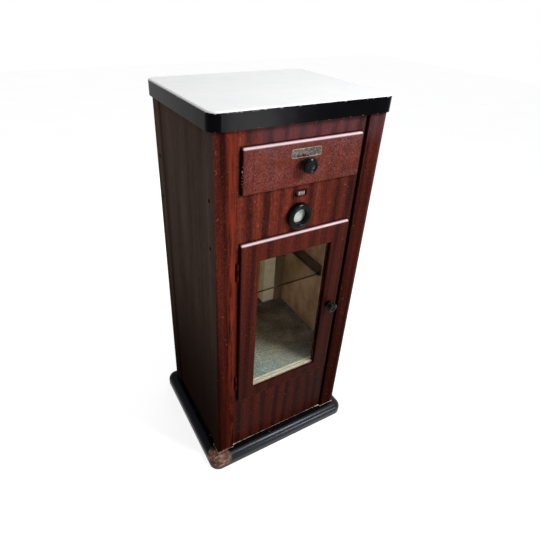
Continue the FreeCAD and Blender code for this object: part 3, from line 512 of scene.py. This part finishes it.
def black_lacquer(name, level):
    """Plinth: black with this much gloss, bare wood on its front left corner, and chips along its edges."""
    g = Graph(name)
    cloud = g.noise((36, 36, 36), 4.0, shift=2.0)
    fine = g.noise((300, 300, 300), 3.0, shift=6.0)
    colour = g.ramp(cloud, (0.35, (3, 3, 5)), (0.7, (10, 10, 14)))
    corner = Vector((PLINTH_LOW.x + 10 * MM, PLINTH_LOW.y + 10 * MM, PLINTH_HIGH.z))
    ragged = g.add(g.distance(corner), g.add(g.swing(cloud, 34 * MM), g.swing(fine, 16 * MM)))
    bare = g.step(ragged, 34 * MM, 24 * MM)
    grain = g.noise((70, 110, 150), 3.0, shift=8.0)
    fibres = g.add(grain, g.swing(fine, 0.3))
    wood = g.ramp(fibres, (0.28, (66, 43, 35)), (0.5, (113, 80, 67)), (0.74, (204, 168, 146)))
    wood = g.over(g.times(g.step(g.z, 22 * MM, 3 * MM), 0.62), wood, (64, 42, 36))
    colour = g.over(bare, colour, wood)
    foot = g.times(g.step(g.z, 10 * MM, 2 * MM), g.beyond(fine, 0.64, 0.02))
    colour = g.over(g.times(foot, 0.8), colour, (170, 160, 152))
    scuffs = g.beyond(g.noise((60, 200, 200), 3.0, shift=4.0), 0.70, 0.02)
    scuffs = g.times(scuffs, g.step(g.z, 20 * MM, 30 * MM))
    colour = g.over(g.times(scuffs, 0.4), colour, (120, 112, 110))
    roughness = g.add(g.add(0.21, g.times(cloud, 0.1)), g.times(bare, 0.4))
    dents = g.add(g.times(cloud, 0.8), g.times(fine, 0.03))
    tint = (0.82, 0.86, 1.0, 1.0)
    g.surface(colour, roughness, g.relief(dents, 0.3 * MM), Specular_IOR_Level=level, Specular_Tint=tint)
    return g.material


def enamel():
    """Pressed top: white on top and over its rolled edge, black round the skirt, chipped on both rims."""
    g = Graph("enamel")
    ripple = g.noise((14, 14, 14), 2.0, shift=3.0)
    fine = g.noise((240, 240, 320), 3.0, shift=6.0)
    white = g.ramp(ripple, (0.3, (250, 251, 252)), (0.7, (254, 254, 254)))
    black = g.ramp(ripple, (0.3, (1, 1, 4)), (0.7, (6, 5, 10)))
    border = g.beyond(g.add(g.z, g.swing(fine, 0.9 * MM)), TOP_Z - 2.6 * MM, 0.25 * MM)
    colour = g.over(border, black, white)
    rim = g.step(g.z, SKIRT_LOW + 1.6 * MM, SKIRT_LOW + 0.4 * MM)
    rim = g.times(rim, g.beyond(fine, 0.64, 0.03))
    colour = g.over(g.times(rim, 0.6), colour, (140, 104, 92))
    crest = g.near(g.z, TOP_Z - 3.4 * MM, 1.2 * MM)
    flaked = g.times(crest, g.beyond(g.noise((150, 150, 150), 3.0, shift=1.0), 0.60, 0.02))
    colour = g.over(g.times(flaked, 0.8), colour, (190, 188, 186))
    rough = g.add(0.14, g.times(ripple, 0.1))
    g.surface(colour, rough, g.relief(ripple, 0.6 * MM), Specular_IOR_Level=0.03)
    return g.material


def clear_glass(name, colour, edge_y=None):
    """Clear plate that lets the lamps' light through to what is behind it, with a dark ground front edge
    where edge_y is given."""
    g = Graph(name)
    if edge_y is not None:
        colour = g.over(g.beyond(g.y, edge_y, -0.3 * MM), colour, (52, 42, 30))
    smear = g.noise((30, 30, 22), 3.0, shift=4.0)
    rough = g.times(g.step(smear, 0.5, 0.9), 0.05)
    shader = g.surface(colour, rough, Transmission_Weight=1.0, IOR=1.06)
    clear = g.node("ShaderNodeBsdfTransparent")
    shadow = g.node("ShaderNodeLightPath").outputs["Is Shadow Ray"]
    joined = g.node("ShaderNodeMixShader")
    g.feed(joined.inputs[0], shadow)
    g.feed(joined.inputs[1], shader.outputs["BSDF"])
    g.feed(joined.inputs[2], clear.outputs["BSDF"])
    g.feed(g.output.inputs["Surface"], joined.outputs["Shader"])
    return g.material


def opal():
    g = Graph("opal")
    cloud = g.noise((90, 90, 90), 3.0, shift=2.0)
    colour = g.ramp(cloud, (0.3, (196, 197, 190)), (0.7, (222, 222, 214)))
    rough = g.add(0.18, g.times(cloud, 0.1))
    g.surface(colour, rough, Subsurface_Weight=0.2, Specular_IOR_Level=0.3)
    return g.material


def bakelite():
    """Moulded black resin with a faint brown mottle and fine polishing marks."""
    g = Graph("bakelite")
    mottle = g.noise((160, 160, 160), 3.0, shift=3.0)
    marks = g.noise((900, 900, 900), 2.0, shift=5.0)
    colour = g.ramp(mottle, (0.35, (2, 2, 3)), (0.7, (8, 6, 6)))
    rough = g.add(0.15, g.times(marks, 0.06))
    g.surface(colour, rough, g.relief(marks, 0.002 * MM), Specular_IOR_Level=0.10)
    return g.material


def metal(name, dark, light, roughness, shine=1.0):
    """Worn metal with a cloudy tarnish."""
    g = Graph(name)
    tarnish = g.noise((140, 140, 140), 4.0, shift=3.0)
    scratch = g.noise((1500, 300, 300), 2.0, shift=6.0)
    colour = g.ramp(g.add(tarnish, g.swing(scratch, 0.5)), (0.3, dark), (0.7, light))
    rough = g.add(roughness, g.times(scratch, 0.15))
    g.surface(colour, rough, g.relief(scratch, 0.05 * MM), Metallic=shine)
    return g.material


def tab_brown_below():
    """Switch tab: dulled metal whose lower half is brown."""
    g = Graph("tab_brown_below")
    tarnish = g.noise((260, 260, 260), 3.0, shift=3.0)
    colour = g.ramp(tarnish, (0.3, (92, 80, 80)), (0.7, (150, 136, 136)))
    height = g.add(g.z, g.swing(tarnish, 4 * MM))
    # Brown over the lower half.
    wear_and_painted_light = g.beyond(height, centre("switch_lever").z - 0.6 * MM, -1.2 * MM)
    colour = g.over(wear_and_painted_light, colour, (92, 46, 38))
    g.surface(colour, 0.4, g.relief(tarnish, 0.05 * MM), Metallic=0.4)
    return g.material


def plate_face():
    """Blank plate: dark field with cloudy, half-rubbed tarnish."""
    g = Graph("plate_face")
    cloud = g.noise((330, 330, 330), 3.0, shift=3.0)
    fine = g.noise((1400, 1400, 1400), 2.0, shift=1.0)
    figure = g.add(cloud, g.swing(fine, 0.7))
    colour = g.ramp(figure, (0.36, (30, 22, 22)), (0.54, (66, 52, 50)), (0.74, (146, 128, 118)))
    g.surface(colour, 0.35, g.relief(fine, 0.1 * MM), Specular_IOR_Level=0.4)
    return g.material


def filler():
    g = Graph("filler")
    grime_and_shadow = g.noise((120, 120, 120), 4.0, shift=3.0)
    colour = g.ramp(grime_and_shadow, (0.34, (112, 88, 62)), (0.5, (186, 166, 132)), (0.66, (230, 218, 192)))
    g.surface(colour, 0.8, g.relief(grime_and_shadow, 0.4 * MM), Specular_IOR_Level=0.2)
    return g.material


def studio_floor():
    """Pale floor that shows white to the eye, in glass and in gloss, and keeps the cabinet's shadow."""
    g = Graph("studio_floor")
    cloud = g.noise((3, 3, 3), 2.0)
    pale = g.ramp(cloud, (0.3, (196, 196, 197)), (0.7, (202, 202, 202)))
    matt = g.node("ShaderNodeBsdfDiffuse", Color=pale)
    rays = g.node("ShaderNodeLightPath").outputs
    seen = g.most(g.most(rays["Is Camera Ray"], rays["Is Glossy Ray"]), rays["Is Transmission Ray"])
    glow = g.node("ShaderNodeEmission", Strength=g.times(seen, FLOOR_GLOW))
    both = g.node("ShaderNodeAddShader")
    g.feed(both.inputs[0], matt.outputs["BSDF"])
    g.feed(both.inputs[1], glow.outputs["Emission"])
    g.feed(g.output.inputs["Surface"], both.outputs["Shader"])
    return g.material


def dress(material, *names):
    for name in names:
        for slot in NODES[name].material_slots:
            slot.material = material


def dress_frame(resin, opal_glass):
    """Every CAD node gets its finish."""
    dress(fascia_veneer(), "front_panel")
    dress(drawer_veneer(), "drawer_front")
    dress(door_veneer(), "door_stile_hinge", "door_stile_lock", "door_rail_top", "door_rail_bottom")
    left = post_veneer("post_veneer_left", POST_LEFT_LOW, POST_LEFT_HIGH, 33.0, 4.46, 0.81, True)
    right = post_veneer("post_veneer_right", POST_RIGHT_LOW, POST_RIGHT_HIGH, 50.0, -6.85, 0.0, False)
    dress(left, "post_front_left")
    dress(right, "post_front_right")
    dress(rear_post_veneer(), "post_rear_left", "post_rear_right")
    dress(side_veneer(), "side_panel_left", "side_panel_right", "rear_panel")
    beech = raw_wood("beech", (150, 116, 78), (190, 156, 112), "y")
    dress(beech, "drawer_side_left", "drawer_side_right", "drawer_runner_left", "drawer_runner_right")
    stained = raw_wood("stained_wood", (66, 44, 27), (100, 70, 44), "y", 0.0)
    dress(stained, "shelf_bearer_left", "shelf_bearer_right")
    deal = raw_wood("deal", (132, 102, 70), (172, 142, 102), "x")
    dress(deal, "drawer_back", "drawer_bottom", "drawer_deck")
    dress(deal, "compartment_floor", "bottom_board", "top_board")
    dress(cupboard_floor_wood(), "cupboard_floor")
    dress(cream_paint("sill_paint", (176, 167, 146), (194, 186, 166)), "glazing_bead_bottom")
    dress(cream_paint("batten_paint", (232, 218, 184), (252, 240, 208)), "rear_battens")
    beads = [f"glazing_bead_{side}" for side in ("left", "right", "top")]
    dress(raw_wood("dark_bead", (38, 16, 12), (62, 28, 21), "y", 0.0), *beads)
    dress(speckled_lining(), "floor_lining")
    dress(black_lacquer("black_lacquer", 0.28), "plinth_front", "plinth_right")
    dress(black_lacquer("dulled_lacquer", 0.06), "plinth_left", "plinth_rear")
    dress(enamel(), "enamel_top")
    dress(clear_glass("pane_glass", (250, 251, 250)), "door_glass")
    shelf_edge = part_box("glass_shelf")[0].y + 0.6 * MM
    dress(clear_glass("shelf_glass", (238, 242, 232), shelf_edge), "glass_shelf")
    dress(opal_glass, "lamp_bulb", "lamp_lens")
    dress(resin, "lamp_bezel", "lamp_holder", "switch_body", "cable_gland")
    dress(resin, "drawer_knob", "door_knob", "knob_rose")
    dress(raw_wood("stopped_screws", (18, 14, 12), (34, 28, 25), "x", 0.0), "carcass_screws")
    dress(raw_wood("stained_plate", (36, 16, 13), (66, 32, 26), "x", 0.0), "switch_plate")
    leaf = raw_wood("stained_leaf", (48, 19, 13), (78, 31, 21), "x", 0.0)
    dress(leaf, "hinge_upper_frame_leaf", "hinge_lower_frame_leaf")
    # Painted shade: the door leaves and pins as dark as the shaded line by the door's left edge.
    knuckle = raw_wood("hinge_painted_shade", (30, 12, 9), (48, 19, 14), "x", 0.0)
    dress(knuckle, "hinge_upper_door_leaf", "hinge_lower_door_leaf", "hinge_pins")
    dress(tab_brown_below(), "switch_lever")
    steel = metal("steel", (104, 100, 96), (160, 156, 150), 0.35)
    dress(steel, "lamp_nut", "drawer_knob_screw", "latch_spindle", "latch_tongue")


# ---- pieces ----
def piece(name, mesh, body, material):
    """Object from a finished bmesh, shaded smooth, riding on a body."""
    bmesh.ops.recalc_face_normals(mesh, faces=mesh.faces)
    data = bpy.data.meshes.new(name)
    mesh.to_mesh(data)
    mesh.free()
    data.shade_smooth()
    made = bpy.data.objects.new(name, data)
    bpy.context.scene.collection.objects.link(made)
    data.materials.append(material)
    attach(made, body)
    return made


def eased(corners, steps=6):
    """Profile through corners of (radius, ahead, rounding), each corner eased by its rounding."""
    points = [Vector(corners[0][:2])]
    for before, corner, after in zip(corners, corners[1:], corners[2:]):
        at = Vector(corner[:2])
        start = at + (Vector(before[:2]) - at).normalized() * corner[2]
        end = at + (Vector(after[:2]) - at).normalized() * corner[2]
        for step in range(steps + 1):
            t = step / steps
            points.append(start * (1 - t) ** 2 + at * 2 * t * (1 - t) + end * t**2)
    points.append(Vector(corners[-1][:2]))
    return points


def turned(corners, foot, segments=80):
    """Mesh turned on a line along Y, from a profile of radius and distance ahead of foot, in millimetres.
    A profile that starts on the axis ends there too, and any other is a closed ring."""
    mesh = bmesh.new()
    rings = []
    for radius, ahead in eased(corners):
        count = segments if radius > 0.01 else 1
        ring = []
        for i in range(count):
            turn = math.tau * i / count
            spot = Vector((radius * math.cos(turn), -ahead, radius * math.sin(turn)))
            ring.append(mesh.verts.new(foot + spot * MM))
        rings.append(ring)
    if corners[0][0] > 0:
        rings.append(rings[0])
    for one, two in zip(rings, rings[1:]):
        for i in range(segments):
            j = (i + 1) % segments
            corner_loop = [one[i % len(one)], one[j % len(one)], two[j % len(two)], two[i % len(two)]]
            distinct = list(dict.fromkeys(corner_loop))
            mesh.faces.new(distinct)
    return mesh


def knob_corners(radius, neck, projection):
    """Knob with a flared foot, a waist, two rims with a groove between them, the front one bevelled,
    and a dished face."""
    back = projection * 0.40
    groove = back + 0.32 * (projection - back)
    return [
        (0, 0, 0),
        (neck + 1.4, 0, 0.4),
        (neck + 1.2, 1.2, 0.5),
        (neck - 0.3, 3.0, 1.2),
        (neck + 0.4, back - 0.6, 1.2),
        (radius - 0.4, back + 0.2, 1.0),
        (radius, back + 1.6, 0.8),
        (radius, groove - 0.2, 1.5),
        (radius - 1.8, groove + 0.3, 0.5),
        (radius - 1.8, groove + 1.5, 0.5),
        (radius, groove + 2.2, 0.9),
        (radius, projection - 2.2, 0.9),
        (radius - 3.6, projection, 1.0),
        (radius - 5.0, projection, 0.8),
        (radius - 6.4, projection - 1.5, 1.4),
        (0, projection - 1.9, 0),
    ]


def knob(name, node, neck, body, resin):
    low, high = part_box(node)
    middle = centre(node)
    corners = knob_corners((high.x - low.x) / 2 / MM, neck, (high.y - low.y) / MM)
    mesh = turned(corners, Vector((middle.x, high.y, middle.z)))
    made = piece(name, mesh, body, resin)
    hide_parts(node)


def lamp_ring(resin, glass):
    """Rounded ring and domed opal disc of the signal lamp."""
    low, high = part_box("lamp_bezel")
    ring_r, length = (high.x - low.x) / 2 / MM, (high.y - low.y) / MM
    foot = Vector((centre("lamp_bezel").x, FASCIA_LOW.y, centre("lamp_bezel").z))
    front = (FASCIA_LOW.y - low.y) / MM
    end = front - length
    corners = [
        (BORE_R, end, 0),
        (BARREL_R, end, 0.3),
        (BARREL_R, 0, 0.1),
        (ring_r, 0, 0.3),
        (ring_r, front - 2.6, 1.6),
        (ring_r - 3.4, front, 1.6),
        (SIGHT_R + 2.4, front, 1.2),
        (SIGHT_R, front - 2.4, 1.2),
        (SIGHT_R, LENS_SEAT, 0.1),
        (BORE_R, LENS_SEAT, 0.1),
        (BORE_R, end + 1, 0),
    ]
    made = piece("signal_ring", turned(corners, foot), "cabinet", resin)
    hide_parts("lamp_bezel")

    crown = LENS_SEAT + 0.5
    rim_r = SIGHT_R - 0.3
    corners = [
        (0, 0, 0),
        (BORE_R, 0, 0.3),
        (BORE_R, LENS_SEAT, 0.3),
        (rim_r, LENS_SEAT, 0.1),
        (rim_r, LENS_SEAT + 0.2, 0.1),
        (rim_r * 0.55, crown, 5.0),
        (0, crown, 0),
    ]
    made = piece("signal_disc", turned(corners, foot), "cabinet", glass)
    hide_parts("lamp_lens")


def plate_outline(half_w, half_h, cut):
    """Corner points of a plate with clipped corners, as (x, z)."""
    short_w, short_h = half_w - cut, half_h - cut
    return [
        (-short_w, -half_h),
        (short_w, -half_h),
        (half_w, -short_h),
        (half_w, short_h),
        (short_w, half_h),
        (-short_w, half_h),
        (-half_w, short_h),
        (-half_w, -short_h),
    ]


def layered(outlines, origin):
    """Closed mesh through outlines of (x, z) points, each some way ahead of the origin, in millimetres."""
    mesh = bmesh.new()
    rings = []
    for ahead, outline in outlines:
        rings.append([mesh.verts.new(origin + Vector((x, -ahead, z)) * MM) for x, z in outline])
    for one, two in zip(rings, rings[1:]):
        for i in range(len(one)):
            j = (i + 1) % len(one)
            mesh.faces.new((one[i], one[j], two[j], two[i]))
    mesh.faces.new(rings[0][::-1])
    mesh.faces.new(rings[-1])
    return mesh


def blank_plate(brass):
    """Bare plate with a raised rim and two pins, on the drawer's front."""
    half_w, half_h, cut = PLATE_W / 2, PLATE_H / 2, PLATE_CLIP
    origin = Vector((0, DRAWER_LOW.y, PLATE_Z * MM))
    rim, field, inner = PLATE_RIM, PLATE_T * 0.55, 0.35
    outlines = [
        (-0.2, plate_outline(half_w, half_h, cut)),
        (PLATE_T - 0.25, plate_outline(half_w, half_h, cut)),
        (PLATE_T, plate_outline(half_w - 0.25, half_h - 0.25, cut)),
        (PLATE_T, plate_outline(half_w - rim + inner, half_h - rim + inner, cut)),
        (field, plate_outline(half_w - rim, half_h - rim, cut)),
        (-0.1, plate_outline(half_w - rim, half_h - rim, cut)),
    ]
    piece("plate_rim", layered(outlines, origin), "drawer", brass)
    inside = plate_outline(half_w - rim - 0.05, half_h - rim - 0.05, cut)
    face = plate_outline(half_w - rim - 0.4, half_h - rim - 0.4, cut)
    panel = [(-0.15, inside), (field - 0.1, inside), (field, face)]
    piece("plate_field", layered(panel, origin), "drawer", plate_face())
    for side, name in ((-1, "left"), (1, "right")):
        foot = origin + Vector((side * (half_w - 3.2), -field + 0.1, 0)) * MM
        corners = [(0, 0, 0), (0.9, 0, 0.1), (0.9, 0.35, 0.3), (0, 0.55, 0)]
        piece(f"plate_pin_{name}", turned(corners, foot, 24), "drawer", brass)


def filler_bead(name, start, end, outward, material, seed, gather, sides=8):
    """Uneven bead of filler between body and plinth, thicker at its ends by what gathers there."""
    dice = random.Random(seed)
    run = end - start
    count = max(2, int(run.length / (FILLER_STEP * MM)))
    mesh = bmesh.new()
    rings = []
    for i in range(count + 1):
        share = i / count
        from_end = min(share, 1 - share) * run.length / MM
        thin = FILLER_R * (1.1 - 0.8 * share) * dice.uniform(0.5, 1.1)
        radius = thin + gather * math.exp(-from_end / FILLER_FADE) * dice.uniform(0.5, 1.0)
        middle = start + run * share
        ring = []
        for k in range(sides):
            turn = math.tau * k / sides
            across = outward * math.cos(turn) + Vector((0, 0, 1)) * math.sin(turn)
            ring.append(mesh.verts.new(middle + across * radius * MM))
        rings.append(ring)
    for one, two in zip(rings, rings[1:]):
        for k in range(sides):
            j = (k + 1) % sides
            mesh.faces.new((one[k], one[j], two[j], two[k]))
    mesh.faces.new(rings[0][::-1])
    mesh.faces.new(rings[-1])
    piece(name, mesh, "cabinet", material)


def filler_beads():
    """Filler along the feet of the fascia, the front posts and the start of the left side."""
    putty = filler()
    foot = BODY_FOOT + 0.1 * MM
    inner = POST_LEFT_HIGH.x
    fascia = [Vector((x, FASCIA_LOW.y, foot)) for x in (inner, -inner)]
    left = [Vector((x, POST_LEFT_LOW.y, foot)) for x in (POST_LEFT_LOW.x, inner)]
    right = [Vector((x, POST_RIGHT_LOW.y, foot)) for x in (POST_RIGHT_LOW.x, POST_RIGHT_HIGH.x)]
    side = [left[0], left[0] + Vector((0, FILLER_SIDE_RUN * MM, 0))]
    forward, leftward = Vector((0, -1, 0)), Vector((-1, 0, 0))
    filler_bead("filler_fascia", *fascia, forward, putty, 3, 3.0)
    filler_bead("filler_post_left", *left, forward, putty, 5, 0.8)
    filler_bead("filler_post_right", *right, forward, putty, 8, 1.6)
    filler_bead("filler_side_left", *side, leftward, putty, 13, 0.8)


# ---- stage, light and camera ----
def stage():
    """Square floor just under the cabinet."""
    mesh = bmesh.new()
    half = 6.0
    corners = ((-half, -half, 0), (half, -half, 0), (half, half, 0), (-half, half, 0))
    mesh.faces.new([mesh.verts.new(corner) for corner in corners])
    data = bpy.data.meshes.new("floor")
    mesh.to_mesh(data)
    mesh.free()
    data.materials.append(studio_floor())
    floor = bpy.data.objects.new("floor", data)
    floor.location.z = CAD_BOX[0].z - 0.2 * MM
    bpy.context.scene.collection.objects.link(floor)


def soft_lamp(name, place, aim, side, power):
    data = bpy.data.lights.new(name, "AREA")
    data.shape = "SQUARE"
    data.size = side
    data.energy = power
    lamp = bpy.data.objects.new(name, data)
    lamp.location = place
    lamp.rotation_mode = "QUATERNION"
    lamp.rotation_quaternion = (Vector(aim) - Vector(place)).to_track_quat("-Z", "Y")
    bpy.context.scene.collection.objects.link(lamp)


def light():
    """Window light from the front right and above, a low one in front whose reflection runs along the
    plinth, a soft one overhead, one behind, and an even surround."""
    for lamp in LAMPS:
        soft_lamp(*lamp)
    world = bpy.data.worlds.new("surround")
    bpy.context.scene.world = world
    world.use_nodes = True
    tree = world.node_tree
    tree.nodes.clear()
    rays = tree.nodes.new("ShaderNodeLightPath").outputs
    seen = rays["Is Camera Ray"]
    for other in ("Is Glossy Ray", "Is Transmission Ray"):
        joined = tree.nodes.new("ShaderNodeMath")
        joined.operation = "MAXIMUM"
        tree.links.new(seen, joined.inputs[0])
        tree.links.new(rays[other], joined.inputs[1])
        seen = joined.outputs[0]
    surround, backdrop = (tree.nodes.new("ShaderNodeBackground") for _ in range(2))
    surround.inputs["Strength"].default_value = SURROUND_LIGHT
    surround.inputs["Color"].default_value = (1, 1, 1, 1)
    backdrop.inputs["Color"].default_value = (1, 1, 1, 1)
    choice = tree.nodes.new("ShaderNodeMixShader")
    tree.links.new(seen, choice.inputs[0])
    tree.links.new(surround.outputs[0], choice.inputs[1])
    tree.links.new(backdrop.outputs[0], choice.inputs[2])
    output = tree.nodes.new("ShaderNodeOutputWorld")
    tree.links.new(choice.outputs[0], output.inputs["Surface"])
    bpy.context.scene.view_settings.view_transform = "Standard"


def camera():
    """Hand-held view from the front left and above, with a little roll."""
    azimuth, elevation, roll = (math.radians(angle) for angle in (AZIMUTH, ELEVATION, ROLL))
    back = Vector((
        math.sin(azimuth) * math.cos(elevation),
        -math.cos(azimuth) * math.cos(elevation),
        math.sin(elevation),
    ))
    right = (-back).cross(Vector((0, 0, 1))).normalized()
    up = back.cross(right)
    turned_right = right * math.cos(roll) + up * math.sin(roll)
    turned_up = up * math.cos(roll) - right * math.sin(roll)
    data = bpy.data.cameras.new("camera")
    data.lens = LENS
    data.sensor_width = SENSOR
    data.shift_x = (PICTURE_SIDE / 2 - AXIS_PIXEL[0]) / PICTURE_SIDE
    data.shift_y = (AXIS_PIXEL[1] - PICTURE_SIDE / 2) / PICTURE_SIDE
    data.clip_start = 0.02
    data.clip_end = 30.0
    made = bpy.data.objects.new("camera", data)
    axes = Matrix((turned_right, turned_up, back)).transposed()
    made.matrix_world = Matrix.Translation(CAMERA_PLACE) @ axes.to_4x4()
    bpy.context.scene.collection.objects.link(made)
    bpy.context.scene.camera = made


black_resin, white_glass = bakelite(), opal()
dress_frame(black_resin, white_glass)
knob("drawer_pull", "drawer_knob", 7.0, "drawer", black_resin)
knob("catch_knob", "door_knob", 6.0, "latch", black_resin)
lamp_ring(black_resin, white_glass)
blank_plate(metal("white_metal", (96, 84, 70), (168, 156, 134), 0.4, 0.6))
filler_beads()
stage()
light()
camera()
